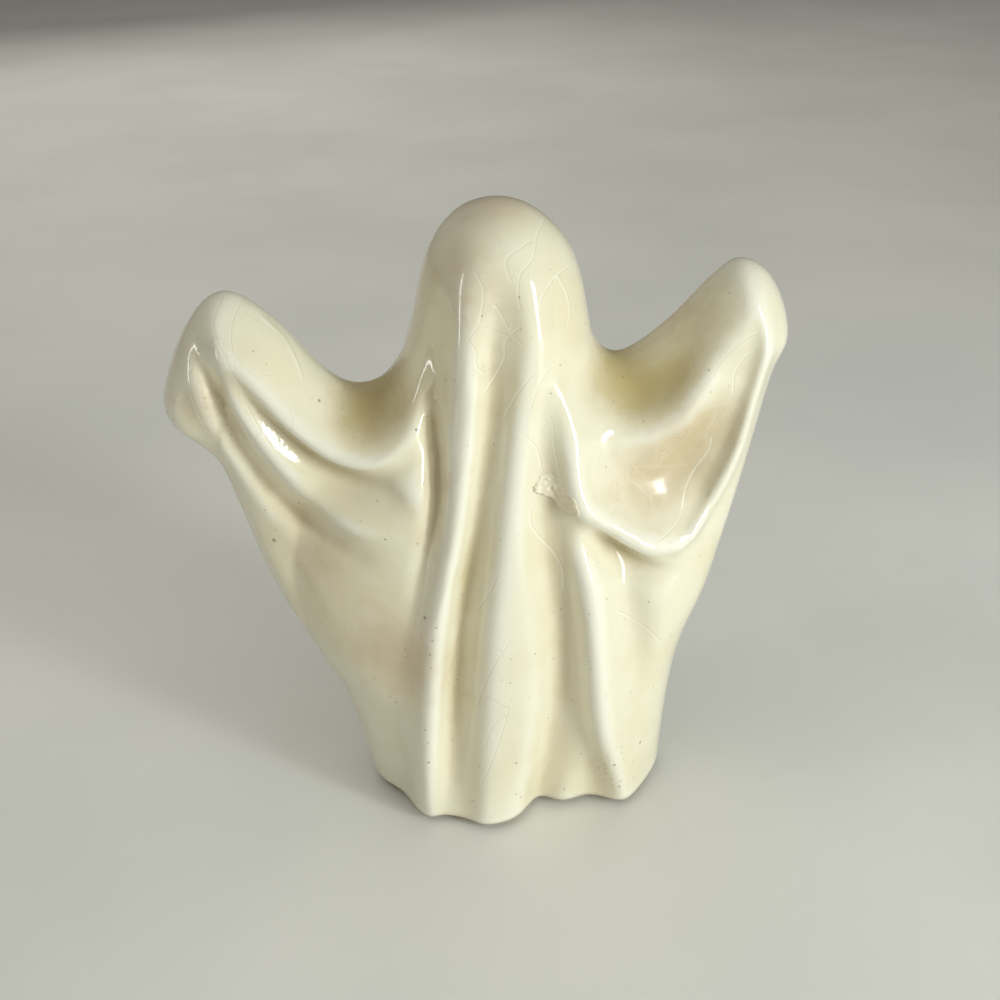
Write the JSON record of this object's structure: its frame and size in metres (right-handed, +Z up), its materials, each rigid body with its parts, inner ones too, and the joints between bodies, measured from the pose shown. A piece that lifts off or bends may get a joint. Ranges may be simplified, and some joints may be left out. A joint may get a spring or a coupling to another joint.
{
  "type": "ceramic ghost figure",
  "caption": "Small glazed ceramic figure of a sheet-draped ghost with raised arms, cast hollow and open at the foot, for standing on a shelf or table.",
  "frame": {"origin": "on the table under the middle of the figure's bounding box", "axes": "+Z up, the figure faces -Y, +X to the viewer's right"},
  "size_m": [0.1031, 0.0384, 0.11],
  "materials": {
    "ivory_glaze": "glossy ivory glaze, sparsely crazed, olive where it pools",
    "bare_clay": "fired buff earthenware, matt and slightly gritty"
  },
  "bodies": {
    "root": {"front_shell": "bare_clay", "back_shell": "bare_clay", "glaze_coat": "ivory_glaze", "clay_scar": "bare_clay"}
  },
  "joints": []
}
